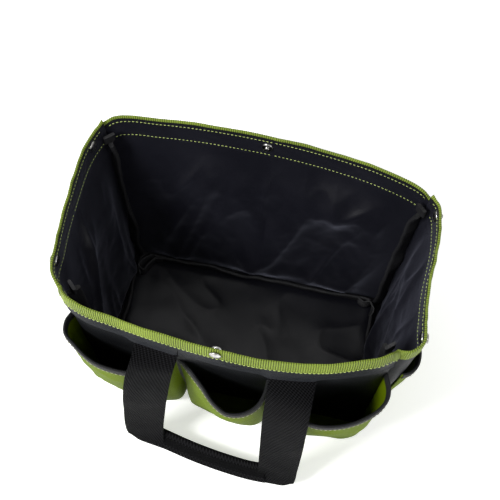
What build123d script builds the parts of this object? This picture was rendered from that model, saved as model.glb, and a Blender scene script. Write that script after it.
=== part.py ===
"""Open-topped garden tool bag: a sewn tote with eight outside pockets and two webbing handles.

Frame, in millimetres: X along the bag, Y from front to back, Z up. The origin is the centre of
the underside of the bottom, on the surface that the bag stands on.

The four walls lean out from a stiffened bottom, and the long walls belly outward at the rim.
Each end wall is made of two halves that meet at a crease, so that the ends can fold in.
"""

import os
from math import sqrt

from build123d import *

# ---- driving dimensions -------------------------------------------------------------------

BASE_LENGTH = 272.0  # bottom, outside, along X
BASE_DEPTH = 142.0  # bottom, outside, along Y
RIM_LENGTH = BASE_LENGTH + 42.0  # mouth, corner to corner, along X
RIM_DEPTH = BASE_DEPTH + 26.0  # mouth, corner to corner, along Y
HEIGHT = 214.0  # surface to the top of the wall cloth
FRONT_BELLY = 34.0  # how far the front rim bows out past its corners
BACK_BELLY = 23.0  # the same for the back rim
FOOT_BELLY = 2.0  # the bow that is left at the bottom seam

# cloth layers, all measured square to the wall's own plane along X or Y
LINING_THICK = 1.0
PANEL_THICK = 1.6
BAND_THICK = 1.2
BINDING_THICK = 0.9
CLEAR = 0.4  # room between pieces that move apart
SEAM_GAP = 0.06  # between two layers that are only stitched together

# bottom
BOTTOM_THICK = 1.6
BOARD_THICK = 3.0
BOARD_INSET = 4.0
WALL_FOOT_Z = 0.8  # the walls' lower hem, just off the surface
SEAM_TAPE = 5.0  # width and height of the bound seam inside
SEAM_TAPE_THICK = 1.2

# rim
BINDING_HEIGHT = 19.0  # ribbed ribbon on the outside
BINDING_INSIDE = 4.0  # what shows of it inside
BAND_HEIGHT = 34.0  # facing band, from the rim down, half hidden by the ribbon

# pockets
POCKET_MOUTH_Z = HEIGHT - 63.0
POCKET_FOOT_Z = 4.0
POCKET_THICK = 1.2
POCKET_BINDING_HEIGHT = 10.0
POCKET_BINDING_THICK = 0.9
CENTRE_POCKET_HALF = 45.0  # half the centre pocket's width, seam to seam
POCKET_SEAM = 3.0  # plain strip between two pockets
POCKET_CORNER_GAP = 3.0
FRONT_POCKET_DEPTH = 32.0  # at the mouth
FRONT_POCKET_FOOT = 12.0  # at the bottom
END_POCKET_DEPTH = 17.0
END_POCKET_FOOT = 8.0
END_POCKET_CORNER = 14.0  # plain wall between the end pocket and the corner

# handles
WEB_WIDTH = 40.0
WEB_THICK = 1.8
HANDLE_CENTRE = 62.0  # each leg's centre line from the middle, at the seam
HANDLE_EXIT_Z = HEIGHT - BAND_HEIGHT - 1.0
GRIP_Z = 5.0
GRIP_THICK = 4.2  # the webbing folded double
GRIP_WIDTH = 20.0
ANCHOR_HEIGHT = 22.0  # strap end caught behind the facing band
ANCHOR_GAP = 0.5
HANDLE_BENDS = [10.0, 9.0, 40.0, 30.0]  # leg bends from the seam down

# snaps and corner tapes
SNAP_RADIUS = 5.5
SNAP_CAP_HEIGHT = 1.6
SNAP_RIM_HEIGHT = 2.0
SNAP_POST_RADIUS = 1.8
SNAP_STUD_RADIUS = 2.2
SNAP_SOCKET_RADIUS = 2.5
SNAP_BELOW_RIM = 12.0
SNAP_GAP = 0.15  # between a snap and the cloth that it clamps
END_SNAP_FROM_CORNER = 22.0
TAPE_WIDTH = 9.0
TAPE_THICK = 1.0

# ---- where the cloth is -------------------------------------------------------------------

FRONT = "front"
BACK = "back"
SIGN = {FRONT: -1.0, BACK: 1.0, "left": -1.0, "right": 1.0}
BELLY = {FRONT: FRONT_BELLY, BACK: BACK_BELLY}


def mix(low, high, share):
    return low + (high - low) * share


def corner_x(z):
    """Half the bag's length at a height."""
    return mix(BASE_LENGTH, RIM_LENGTH, z / HEIGHT) / 2


def corner_y(z):
    """Half the bag's depth at a height, at the corners."""
    return mix(BASE_DEPTH, RIM_DEPTH, z / HEIGHT) / 2


def wall_out(side, x, z):
    """How far the long wall's cloth stands from the middle plane, at x and z."""
    half = corner_x(z)
    bow = mix(FOOT_BELLY, BELLY[side], z / HEIGHT)
    radius = (half * half + bow * bow) / (2 * bow)
    return corner_y(z) + bow - radius + sqrt(radius * radius - x * x)


def ruled(lower, upper):
    return Solid.make_loft([lower.outer_wire(), upper.outer_wire()], ruled=True)


# ---- long walls ---------------------------------------------------------------------------


def strip_face(side, z, start, end, inner, outer):
    """Section of a cloth strip on a long wall, from x start to end, between two offsets."""
    sign = SIGN[side]
    middle = (start + end) / 2

    def at(x, offset):
        return (x, sign * (wall_out(side, x, z) + offset), z)

    edge_out = ThreePointArc(at(start, outer), at(middle, outer), at(end, outer))
    edge_in = ThreePointArc(at(end, inner), at(middle, inner), at(start, inner))
    sides = [Line(at(end, outer), at(end, inner)), Line(at(start, inner), at(start, outer))]
    return Face(Wire([edge_out, sides[0], edge_in, sides[1]]))


def wall_strip(side, low, high, inner, outer, trim=0.0):
    """Cloth strip over the whole long wall, from height low to high."""
    sections = []
    for z in (low, high):
        reach = corner_x(z) - trim
        sections.append(strip_face(side, z, -reach, reach, inner, outer))
    return ruled(*sections)


def wall_patch(side, low, high, start, end, inner, outer):
    """Cloth patch on a long wall between two fixed x values."""
    sections = [strip_face(side, z, start, end, inner, outer) for z in (low, high)]
    return ruled(*sections)


def wrap_binding(strip, high, inner, outer):
    """Ribbon folded over a rim: outside strip, cap and a short inside strip."""
    outside = strip(high - BINDING_HEIGHT, high, outer, outer + BINDING_THICK)
    cap = strip(high, high + BINDING_THICK, inner - BINDING_THICK, outer + BINDING_THICK)
    inside = strip(high - BINDING_INSIDE, high, inner - BINDING_THICK, inner)
    return outside + cap + inside


def pocket_line(start, end, depth, base):
    """Points of a pocket front's outline: out from the wall, round, across and back."""
    width = end - start
    shape = [(0.0, 0.0), (0.14, 0.62), (0.5, 1.0), (0.86, 0.62), (1.0, 0.0)]
    points = []
    for along, out in shape:
        x = start + width * along
        points.append((x, base(x) + depth * out))
    return points


def pocket_face(side, z, start, end, depth, thick, shell=True):
    """Section of a long wall's pocket: a shell, or the whole of what it encloses."""
    sign = SIGN[side]

    def base(x):
        return wall_out(side, x, z) + PANEL_THICK + SEAM_GAP

    def place(points):
        return [(x, sign * y, z) for x, y in points]

    outer = place(pocket_line(start, end, depth, base))
    inner = place(pocket_line(start + thick, end - thick, depth - thick, base))
    if not shell:
        middle = (start + end) / 2
        back = ThreePointArc(inner[-1], (middle, sign * base(middle), z), inner[0])
        return Face(Wire([Spline(*inner), back]))
    edges = [
        Spline(*outer),
        Line(outer[-1], inner[-1]),
        Spline(*reversed(inner)),
        Line(inner[0], outer[0]),
    ]
    return Face(Wire(edges))


def pocket_span(name, z):
    """Where a long wall's pocket starts and ends along X at a height."""
    seam = CENTRE_POCKET_HALF + POCKET_SEAM
    reach = corner_x(z) - POCKET_CORNER_GAP
    spans = {
        "left": (-reach, -seam),
        "centre": (-CENTRE_POCKET_HALF, CENTRE_POCKET_HALF),
        "right": (seam, reach),
    }
    return spans[name]


def pocket_depth(z):
    share = (z - POCKET_FOOT_Z) / (POCKET_MOUTH_Z - POCKET_FOOT_Z)
    return mix(FRONT_POCKET_FOOT, FRONT_POCKET_DEPTH, share)


def wall_pocket(side, name):
    """One pocket and the binding round its mouth."""

    def face(z, grow, thick, shell=True):
        start, end = pocket_span(name, z)
        return pocket_face(side, z, start - grow, end + grow, pocket_depth(z) + grow, thick, shell)

    floor_top = POCKET_FOOT_Z + POCKET_THICK
    shell = ruled(face(POCKET_FOOT_Z, 0, POCKET_THICK), face(POCKET_MOUTH_Z, 0, POCKET_THICK))
    floor = ruled(
        face(POCKET_FOOT_Z, POCKET_THICK / 2, POCKET_THICK, False),
        face(floor_top, POCKET_THICK / 2, POCKET_THICK, False),
    )
    low = POCKET_MOUTH_Z - POCKET_BINDING_HEIGHT
    high = POCKET_MOUTH_Z + POCKET_BINDING_THICK
    wrap = POCKET_THICK + 2 * POCKET_BINDING_THICK
    band = ruled(face(low, POCKET_BINDING_THICK, wrap), face(high, POCKET_BINDING_THICK, wrap))
    pocket = shell + floor
    return pocket, band - shell


def corner_tapes(side):
    """Twill tape sewn down the two inside corners of a long wall."""
    tapes = []
    foot = BOTTOM_THICK + BOARD_THICK + LINING_THICK + SEAM_TAPE + CLEAR
    top = HEIGHT - BINDING_INSIDE - CLEAR
    for end in (-1, 1):
        sections = []
        for z in (foot, top):
            corner = end * (corner_x(z) - LINING_THICK - CLEAR)
            span = sorted((corner, corner - end * TAPE_WIDTH))
            inner = -LINING_THICK - TAPE_THICK
            sections.append(strip_face(side, z, span[0], span[1], inner, -LINING_THICK))
        tapes.append(ruled(*sections))
    return Compound(children=tapes)


# ---- end walls ----------------------------------------------------------------------------


def end_face(end, side, z, start, stop, inner, outer):
    """Section of half an end wall, from y start to stop measured out from the crease."""
    near, far = SIGN[side] * start, SIGN[side] * stop
    at_in = SIGN[end] * (corner_x(z) + inner)
    at_out = SIGN[end] * (corner_x(z) + outer)
    points = [(at_in, near, z), (at_out, near, z), (at_out, far, z), (at_in, far, z)]
    return Face(Wire(Polyline(*points, close=True).edges()))


def end_strip(end, side, low, high, inner, outer, trim=0.0):
    """Cloth strip over half an end wall, kept clear of the crease and the long wall."""
    sections = []
    for z in (low, high):
        reach = corner_y(z) - LINING_THICK - TAPE_THICK - CLEAR - trim
        sections.append(end_face(end, side, z, CLEAR / 2, reach, inner, outer))
    return ruled(*sections)


def end_pocket_face(end, side, z, grow, thick, shell=True):
    """Section of half an end pocket, which is open at the crease."""
    share = (z - POCKET_FOOT_Z) / (POCKET_MOUTH_Z - POCKET_FOOT_Z)
    depth = mix(END_POCKET_FOOT, END_POCKET_DEPTH, share)
    reach = corner_y(z) - END_POCKET_CORNER
    wall = corner_x(z) + PANEL_THICK + SEAM_GAP

    def outline(swell, extra):
        points = [(0.0, 1.0), (0.7, 0.66), (1.0, 0.0)]
        first = CLEAR / 2
        last = reach + extra
        result = []
        for along, out in points:
            y = mix(first, last, along)
            result.append((SIGN[end] * (wall + (depth + swell) * out), SIGN[side] * y, z))
        return result

    outer = outline(grow, grow)
    inner = outline(grow - thick, grow - thick)
    if not shell:
        crease = (SIGN[end] * wall, SIGN[side] * CLEAR / 2, z)
        return Face(Wire([Spline(*inner), Line(inner[-1], crease), Line(crease, inner[0])]))
    edges = [
        Spline(*outer),
        Line(outer[-1], inner[-1]),
        Spline(*reversed(inner)),
        Line(inner[0], outer[0]),
    ]
    return Face(Wire(edges))


def end_pocket(end, side):
    """Half an end pocket and its mouth binding."""

    def face(z, grow, thick, shell=True):
        return end_pocket_face(end, side, z, grow, thick, shell)

    floor_top = POCKET_FOOT_Z + POCKET_THICK
    half = POCKET_THICK / 2
    shell = ruled(face(POCKET_FOOT_Z, 0, POCKET_THICK), face(POCKET_MOUTH_Z, 0, POCKET_THICK))
    floor = ruled(
        face(POCKET_FOOT_Z, half, POCKET_THICK, False),
        face(floor_top, half, POCKET_THICK, False),
    )
    low = POCKET_MOUTH_Z - POCKET_BINDING_HEIGHT
    high = POCKET_MOUTH_Z + POCKET_BINDING_THICK
    wrap = POCKET_THICK + 2 * POCKET_BINDING_THICK
    band = ruled(face(low, POCKET_BINDING_THICK, wrap), face(high, POCKET_BINDING_THICK, wrap))
    return shell + floor, band - shell


# ---- snaps --------------------------------------------------------------------------------


def snap_cap(centre, away):
    """Domed cap of a snap, with its plane through centre and its dome pointing away."""
    plane = Plane(origin=centre, z_dir=away)
    body = Solid.make_cylinder(SNAP_RADIUS, SNAP_CAP_HEIGHT, plane)
    return fillet(edge_at(body, away), SNAP_CAP_HEIGHT * 0.6)


def edge_at(body, away):
    """The outer round edge furthest along a direction."""
    rings = body.edges().filter_by(GeomType.CIRCLE)
    return rings.sort_by(Axis((0, 0, 0), away))[-1]


def snap_socket(centre, away):
    """Ring with a hole that takes the stud of the facing snap."""
    plane = Plane(origin=centre, z_dir=away)
    ring = Solid.make_cylinder(SNAP_RADIUS, SNAP_RIM_HEIGHT, plane)
    hole = Solid.make_cylinder(SNAP_SOCKET_RADIUS, SNAP_RIM_HEIGHT, plane)
    return ring - hole


def snap_stud(centre, away):
    """Flange with the stud that clicks into the socket."""
    plane = Plane(origin=centre, z_dir=away)
    flange = Solid.make_cylinder(SNAP_RADIUS, SNAP_CAP_HEIGHT, plane)
    stud = Solid.make_cylinder(SNAP_STUD_RADIUS, SNAP_RIM_HEIGHT, plane)
    return flange + stud


# ---- handles ------------------------------------------------------------------------------


def handle_profile(side):
    """Side view of a leg, as (distance from the middle plane, z): seam, over the pocket, down."""
    inner_edge = HANDLE_CENTRE - WEB_WIDTH / 2
    seam = wall_out(side, inner_edge, HANDLE_EXIT_Z) + PANEL_THICK + WEB_THICK / 2 + CLEAR
    clear = WEB_THICK / 2 + 4 * CLEAR + POCKET_BINDING_THICK
    edge = HANDLE_CENTRE + WEB_WIDTH / 2
    mouth = wall_out(side, edge, POCKET_MOUTH_Z) + PANEL_THICK + FRONT_POCKET_DEPTH + clear
    foot = wall_out(side, edge, GRIP_Z) + PANEL_THICK + 3 * FRONT_POCKET_FOOT
    return [
        (seam, HANDLE_EXIT_Z),
        (seam + 12.0, HANDLE_EXIT_Z - 5.0),
        (mouth, POCKET_MOUTH_Z + 4.0),
        (mouth, POCKET_MOUTH_Z - 30.0),
        (foot, GRIP_Z + 28.0),
        (foot + 8.0, GRIP_Z),
    ]


def handle(side):
    """One webbing loop: two flat legs and a grip of the same webbing folded double."""
    sign = SIGN[side]
    line = handle_profile(side)
    path = FilletPolyline(*line, radius=HANDLE_BENDS)
    section = make_face(trace_band(path, WEB_THICK).edges())
    loop = None
    for end in (-1, 1):
        plane = Plane(origin=(end * HANDLE_CENTRE, 0, 0), x_dir=(0, sign, 0), z_dir=(sign, 0, 0))
        leg = extrude(plane * section, WEB_WIDTH / 2, both=True)
        loop = leg if loop is None else loop + leg
    foot = line[-1][0]
    grip_span = 2 * HANDLE_CENTRE
    grip = Box(grip_span, GRIP_WIDTH, GRIP_THICK)
    grip = fillet(grip.edges().filter_by(Axis.X), GRIP_THICK * 0.4)
    return loop + Pos(0, sign * (foot - GRIP_WIDTH / 4), GRIP_Z) * grip


def trace_band(path, thick):
    """Closed outline of a band of a thickness that follows a path."""
    return offset(path, thick / 2, side=Side.BOTH)


def handle_anchors(side, room):
    """The two strap ends, let into the panel behind the facing band; room widens their pocket."""
    low = HANDLE_EXIT_Z + ANCHOR_GAP - room
    high = low + ANCHOR_HEIGHT + 2 * room
    pieces = []
    for end in (-1, 1):
        middle = end * HANDLE_CENTRE
        reach = WEB_WIDTH / 2 + room
        inner, outer = SEAM_GAP - room, PANEL_THICK - SEAM_GAP + room
        pieces.append(wall_patch(side, low, high, middle - reach, middle + reach, inner, outer))
    return pieces


# ---- snaps in place -----------------------------------------------------------------------


def wall_snap(side):
    """Where a long wall's snap goes: outer and inner seat, and the outward direction."""
    z = HEIGHT - SNAP_BELOW_RIM
    sign = SIGN[side]
    rise = wall_out(side, 0, z) - wall_out(side, 0, z - 1)
    away = Vector(0, sign, -rise).normalized()
    seat = Vector(0, sign * wall_out(side, 0, z), z)
    return seat, away


def end_snap(end, side):
    """The same for a snap on half an end wall."""
    z = HEIGHT - SNAP_BELOW_RIM
    rise = corner_x(z) - corner_x(z - 1)
    away = Vector(SIGN[end], 0, -rise).normalized()
    y = SIGN[side] * (corner_y(z) - END_SNAP_FROM_CORNER)
    seat = Vector(SIGN[end] * corner_x(z), y, z)
    return seat, away


def post_hole(seat, away):
    """Straight hole through every cloth layer at a snap."""
    reach = 4 * SNAP_RADIUS
    plane = Plane(origin=seat - away * (reach / 2), z_dir=away)
    return Solid.make_cylinder(SNAP_POST_RADIUS + SNAP_GAP, reach, plane)


def snap_pair(seat, away, inner, outer, mate, mate_outside):
    """Cap with its post on one face of the cloth, and the socket or stud on the other."""
    facing = away if mate_outside else away * -1
    inner, outer = inner - SNAP_GAP, outer + SNAP_GAP
    mate_seat, cap_seat = (outer, inner) if mate_outside else (inner, outer)
    head = snap_cap(seat + away * cap_seat, facing * -1)
    plane = Plane(origin=seat + away * cap_seat, z_dir=facing)
    post = Solid.make_cylinder(SNAP_POST_RADIUS, outer - inner, plane)
    return head + post, mate(seat + away * mate_seat, facing)


# ---- bottom -------------------------------------------------------------------------------


def slab(inset, low, thick, corner=6.0):
    """Flat sheet over the bottom, set in from the walls, with rounded corners."""
    sheet = RectangleRounded(BASE_LENGTH - 2 * inset, BASE_DEPTH - 2 * inset, corner)
    return Pos(0, 0, low) * extrude(sheet, thick)


def bottom_nodes():
    under = LINING_THICK + CLEAR
    board_low = BOTTOM_THICK
    lining_low = board_low + BOARD_THICK
    tape_low = lining_low + LINING_THICK
    ring = slab(BOARD_INSET + CLEAR, tape_low, SEAM_TAPE)
    hollow = slab(BOARD_INSET + CLEAR + SEAM_TAPE_THICK, tape_low, SEAM_TAPE)
    return {
        "bottom_panel": slab(under, 0, BOTTOM_THICK),
        "base_board": slab(BOARD_INSET, board_low, BOARD_THICK),
        "base_lining": slab(BOARD_INSET, lining_low, LINING_THICK),
        "base_seam_tape": ring - hollow,
    }


# ---- walls --------------------------------------------------------------------------------


def long_wall_nodes(side):
    """Every piece of the front or back wall, by node name."""
    seat, away = wall_snap(side)
    hole = post_hole(seat, away)
    anchors = handle_anchors(side, 0)
    recess = handle_anchors(side, 2 * SEAM_GAP)
    band_out = PANEL_THICK + BAND_THICK

    def strip(low, high, inner, outer):
        return wall_strip(side, low, high, inner, outer)

    panel = strip(WALL_FOOT_Z, HEIGHT, 0, PANEL_THICK) - hole - recess[0] - recess[1]
    lining = wall_strip(side, WALL_FOOT_Z, HEIGHT, -LINING_THICK, 0, LINING_THICK) - hole
    band = strip(HEIGHT - BAND_HEIGHT, HEIGHT, PANEL_THICK + SEAM_GAP, band_out) - hole
    binding = wrap_binding(strip, HEIGHT, -LINING_THICK, band_out) - hole
    nodes = {
        f"{side}_panel": panel,
        f"{side}_lining": lining,
        f"{side}_top_band": band,
        f"{side}_rim_binding": binding,
        f"{side}_handle_anchors": Compound(children=anchors),
        f"{side}_corner_tapes": corner_tapes(side),
    }
    mouths = []
    for name in ("left", "centre", "right"):
        pocket, mouth = wall_pocket(side, name)
        nodes[f"{side}_pocket_{name}"] = pocket
        mouths.extend(mouth.solids())
    nodes[f"{side}_pocket_bindings"] = Compound(children=mouths)
    mate = snap_socket if side == FRONT else snap_stud
    cap, ring = snap_pair(seat, away, -LINING_THICK, band_out + BINDING_THICK, mate, False)
    nodes[f"{side}_snap_cap"] = cap
    nodes[f"{side}_snap_{'socket' if side == FRONT else 'stud'}"] = ring
    nodes[f"{side}_handle"] = handle(side)
    return nodes


def end_wall_nodes(end, side):
    """Every piece of half an end wall, by node name."""
    seat, away = end_snap(end, side)
    hole = post_hole(seat, away)

    def strip(low, high, inner, outer):
        return end_strip(end, side, low, high, inner, outer)

    pocket, mouth = end_pocket(end, side)
    mate = snap_socket if side == FRONT else snap_stud
    outer = PANEL_THICK + BINDING_THICK
    cap, ring = snap_pair(seat, away, -LINING_THICK, outer, mate, True)
    return {
        f"{end}_end_panel_{side}": strip(WALL_FOOT_Z, HEIGHT, 0, PANEL_THICK) - hole,
        f"{end}_end_lining_{side}": strip(WALL_FOOT_Z, HEIGHT, -LINING_THICK, 0) - hole,
        f"{end}_rim_binding_{side}": wrap_binding(strip, HEIGHT, -LINING_THICK, PANEL_THICK) - hole,
        f"{end}_pocket_{side}": pocket,
        f"{end}_pocket_binding_{side}": mouth,
        f"{end}_snap_cap_{side}": cap,
        f"{end}_snap_{'socket' if side == FRONT else 'stud'}_{side}": ring,
    }


def all_nodes():
    nodes = bottom_nodes()
    for side in (FRONT, BACK):
        nodes.update(long_wall_nodes(side))
    for end in ("left", "right"):
        for side in (FRONT, BACK):
            nodes.update(end_wall_nodes(end, side))
    return nodes


def main():
    os.makedirs("parts", exist_ok=True)
    nodes = all_nodes()
    for name, shape in nodes.items():
        export_step(shape, f"parts/{name}.step")
    print(f"{len(nodes)} nodes written")


main()
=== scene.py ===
# %% [markdown]
# # A garden tool bag, sewn from cloth, ribbon and webbing
#
# The bag is an open tote. Its long walls belly outward at the rim, its ends are soft, and green
# pockets hang round the outside. The imported model fixes every size and every hinge, so it is
# loaded first and nothing in it is moved. Each later step makes cloth pieces; a few are parented
# to an empty named after a body of the frame, and the rest are baked where they are made.

# %% Load the frame
import math

import bmesh
import bpy
import numpy as np
from mathutils import Matrix, Vector


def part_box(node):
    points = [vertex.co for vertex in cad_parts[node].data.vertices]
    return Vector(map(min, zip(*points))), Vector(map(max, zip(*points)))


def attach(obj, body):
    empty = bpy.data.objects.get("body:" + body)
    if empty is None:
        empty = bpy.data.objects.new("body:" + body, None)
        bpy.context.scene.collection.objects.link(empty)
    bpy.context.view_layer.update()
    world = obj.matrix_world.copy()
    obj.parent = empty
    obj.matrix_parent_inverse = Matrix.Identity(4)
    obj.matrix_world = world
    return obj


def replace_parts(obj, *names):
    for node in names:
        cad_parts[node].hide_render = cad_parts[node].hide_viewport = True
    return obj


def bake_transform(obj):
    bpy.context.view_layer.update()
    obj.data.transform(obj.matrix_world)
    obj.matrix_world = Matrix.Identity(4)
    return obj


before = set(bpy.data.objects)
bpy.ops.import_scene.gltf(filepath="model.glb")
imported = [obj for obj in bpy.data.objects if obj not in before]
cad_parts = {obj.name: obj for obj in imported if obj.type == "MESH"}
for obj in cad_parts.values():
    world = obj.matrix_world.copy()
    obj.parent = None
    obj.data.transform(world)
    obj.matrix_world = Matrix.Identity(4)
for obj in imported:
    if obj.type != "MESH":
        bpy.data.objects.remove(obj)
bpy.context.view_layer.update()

# %% [markdown]
# ## Drawing smooth lines
#
# A sewn bag has no straight lines, so its rim and its pocket mouths are smooth lines through a
# few given points. A Hermite spline through numpy arrays does that for thousands of
# points at once, which keeps the script fast. Lengths are typed in millimetres and turned into
# metres here, because a maker thinks in millimetres and Blender works in metres.

# %% Smooth lines
MM = 0.001


def mix(low, high, share):
    return low + (high - low) * share


def fade(low, high, at):
    """0 below low, 1 above high, and a soft ramp between them."""
    t = np.clip((np.asarray(at, float) - low) / (high - low), 0, 1)
    return t * t * (3 - 2 * t)


def smooth(knots, values, at):
    """Smooth line through values at the given knots."""
    knots, values = np.asarray(knots, float), np.asarray(values, float)
    at = np.clip(np.asarray(at, float), knots[0], knots[-1])
    slope = np.gradient(values, knots, axis=0)
    i = np.clip(np.searchsorted(knots, at, side="right") - 1, 0, len(knots) - 2)
    gap = knots[i + 1] - knots[i]
    t = (at - knots[i]) / gap
    if values.ndim > 1:
        t, gap = t[..., None], gap[..., None]
    bend = t * t * (3 - 2 * t)
    return (
        mix(values[i], values[i + 1], bend)
        + slope[i] * gap * (t - 2 * t**2 + t**3)
        + slope[i + 1] * gap * (t**3 - t**2)
    )


def line(points, at):
    """Smooth line through points, with at running from 0 to 1 along its length."""
    points = np.asarray(points, float)
    steps = np.linalg.norm(np.diff(points, axis=0), axis=1)
    knots = np.concatenate([[0], np.cumsum(steps)]) / steps.sum()
    return smooth(knots, points, at)


def waves(s, t, seed, size):
    """Soft uneven waves about `size` metres across, between about -1 and 1."""
    rng = np.random.default_rng(seed)
    total = np.zeros(np.broadcast(s, t).shape)
    for k in range(7):
        turn, shift, warp = rng.uniform(0, math.pi), rng.uniform(0, 6.28), rng.uniform(0, 6.28)
        pace = (0.7 + 0.35 * k) * 2 * math.pi / size
        along = np.cos(turn) * s + np.sin(turn) * t
        across = np.cos(turn) * t - np.sin(turn) * s
        total += np.sin(pace * along + shift + 1.6 * np.sin(pace * across * 0.6 + warp)) / (1 + k)
    return total / 2.2


print("smooth line check", line([(0, 0), (1, 0), (1, 1)], 0.5))

# %% [markdown]
# ## Turning a grid of points into cloth
#
# Cloth is thin but never paper-thin: a hem shows its edge. Each piece is a grid of points on its
# outer face, and a second grid set in by the cloth's thickness, joined round the border into one
# closed skin. The grid also gives the UV map, measured in metres of real cloth, so that every
# weave comes out at its true scale on every piece.

# %% Cloth from a grid
def normals(grid, out=1):
    """Unit normals of a grid of points; out turns them to the other face."""
    across = np.cross(np.gradient(grid, axis=1), np.gradient(grid, axis=0))
    size = np.linalg.norm(across, axis=2, keepdims=True)
    return out * across / np.maximum(size, 1e-12)


def measure_cloth(grid):
    """Where each grid point is on the flat cloth, in metres."""
    wide = np.linalg.norm(np.diff(grid, axis=1), axis=2).mean(axis=0)
    tall = np.linalg.norm(np.diff(grid, axis=0), axis=2).mean(axis=1)
    u = np.concatenate([[0], np.cumsum(wide)])
    v = np.concatenate([[0], np.cumsum(tall)])
    return np.stack(np.meshgrid(u, v), axis=2)


def skin(grid, thick, out=1):
    """Corners, faces and UVs of a closed layer of cloth with its outer face on the grid."""
    rows, cols = grid.shape[:2]
    inner = grid - normals(grid, out) * thick
    corners = np.concatenate([grid.reshape(-1, 3), inner.reshape(-1, 3)])
    flat = measure_cloth(grid).reshape(-1, 2)
    index = np.arange(rows * cols).reshape(rows, cols)
    a, b = index[:-1, :-1].ravel(), index[:-1, 1:].ravel()
    c, d = index[1:, 1:].ravel(), index[1:, :-1].ravel()
    n = rows * cols
    faces = [np.stack([a, b, c, d], 1), np.stack([a, d, c, b], 1) + n]
    edge = np.concatenate([index[0], index[1:, -1], index[-1, -2::-1], index[-2::-1, 0]])
    faces.append(np.stack([edge[1:], edge[:-1], edge[:-1] + n, edge[1:] + n], 1))
    return corners, np.concatenate(faces), np.concatenate([flat, flat])


def piece(name, parts, finish):
    """One Blender object from several skins, each (corners, faces, uvs)."""
    corners, faces, uvs, start = [], [], [], 0
    for c, f, u in parts:
        corners.append(c)
        faces += [[int(i) + start for i in face] for face in f]
        uvs.append(u)
        start += len(c)
    corners, uvs = np.concatenate(corners), np.concatenate(uvs)
    mesh = bpy.data.meshes.new(name)
    mesh.from_pydata(corners.tolist(), [], faces)
    layer = mesh.uv_layers.new(name="cloth")
    loops = np.empty(len(mesh.loops), dtype=np.int32)
    mesh.loops.foreach_get("vertex_index", loops)
    layer.data.foreach_set("uv", uvs[loops].astype(np.float32).ravel())
    work = bmesh.new()
    work.from_mesh(mesh)
    bmesh.ops.recalc_face_normals(work, faces=work.faces)
    work.to_mesh(mesh)
    work.free()
    mesh.polygons.foreach_set("use_smooth", np.ones(len(mesh.polygons), dtype=bool))
    mesh.set_sharp_from_angle(angle=math.radians(50))
    mesh.materials.append(FINISHES[finish])
    made = bpy.data.objects.new(name, mesh)
    bpy.context.scene.collection.objects.link(made)
    return made


# %% [markdown]
# ## Shared effects for the finishes
#
# Three effects turn up in several finishes: a plain weave, the ribs of a ribbon, and slow
# unevenness such as fading and dust. Each is a node group with its own inputs, built once and
# placed in every material that needs it. A group only gives masks and heights, and the shader
# itself stays in the material.

# %% Node helpers
def rgb(red, green, blue):
    """A colour picked on screen, 0 to 255, as the linear values that shaders use."""
    parts = [c / 255 for c in (red, green, blue)]
    return tuple(c / 12.92 if c < 0.04045 else ((c + 0.055) / 1.055) ** 2.4 for c in parts) + (1,)


def add(tree, kind, feeds=(), **settings):
    """A node of one kind, with its inputs linked or set in order."""
    node = tree.nodes.new(kind)
    for key, value in settings.items():
        setattr(node, key, value)
    pairs = feeds.items() if isinstance(feeds, dict) else enumerate(feeds)
    for where, value in pairs:
        if value is None:
            continue
        if isinstance(value, bpy.types.NodeSocket):
            tree.links.new(value, node.inputs[where])
        else:
            node.inputs[where].default_value = value
    return node


def sum_of(tree, how, *feeds):
    """The result of one Math node."""
    return add(tree, "ShaderNodeMath", feeds, operation=how).outputs[0]


def new_group(name, inputs, outputs):
    """Empty shader node group with named number inputs, and its two end nodes."""
    tree = bpy.data.node_groups.new(name, "ShaderNodeTree")
    tree.interface.new_socket("Cloth", in_out="INPUT", socket_type="NodeSocketVector")
    for label, value in inputs.items():
        socket = tree.interface.new_socket(label, in_out="INPUT", socket_type="NodeSocketFloat")
        socket.default_value = value
    for label in outputs:
        tree.interface.new_socket(label, in_out="OUTPUT", socket_type="NodeSocketFloat")
    return tree, tree.nodes.new("NodeGroupInput"), tree.nodes.new("NodeGroupOutput")


# %% [markdown]
# A plain weave is threads going over and under each other like a chessboard. Two sine waves
# multiplied together make that. It is made of sums and sines only, so it has no seams and costs
# little, and a slant can be added for twill and webbing.

# %% Weave group
def weave_group():
    tree, start, end = new_group("weave", {"Thread": 0.0006, "Slant": 0.0}, ["Height"])
    parts = add(tree, "ShaderNodeSeparateXYZ", [start.outputs["Cloth"]])
    lean = sum_of(tree, "MULTIPLY", parts.outputs[1], start.outputs["Slant"])
    x = sum_of(tree, "ADD", parts.outputs[0], lean)
    pace = sum_of(tree, "DIVIDE", math.pi, start.outputs["Thread"])
    over = sum_of(tree, "SINE", sum_of(tree, "MULTIPLY", x, pace))
    under = sum_of(tree, "SINE", sum_of(tree, "MULTIPLY", parts.outputs[1], pace))
    board = sum_of(tree, "MULTIPLY", over, under)
    height = sum_of(tree, "MULTIPLY_ADD", board, 0.5, 0.5)
    tree.links.new(height, end.inputs["Height"])
    return tree


WEAVE = weave_group()

# %% [markdown]
# Ribbed ribbon has thick cords side by side, wrapped by fine thread. A rounded wave across the
# ribbon gives the cords, and a second, much finer one gives the wrapping.

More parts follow.
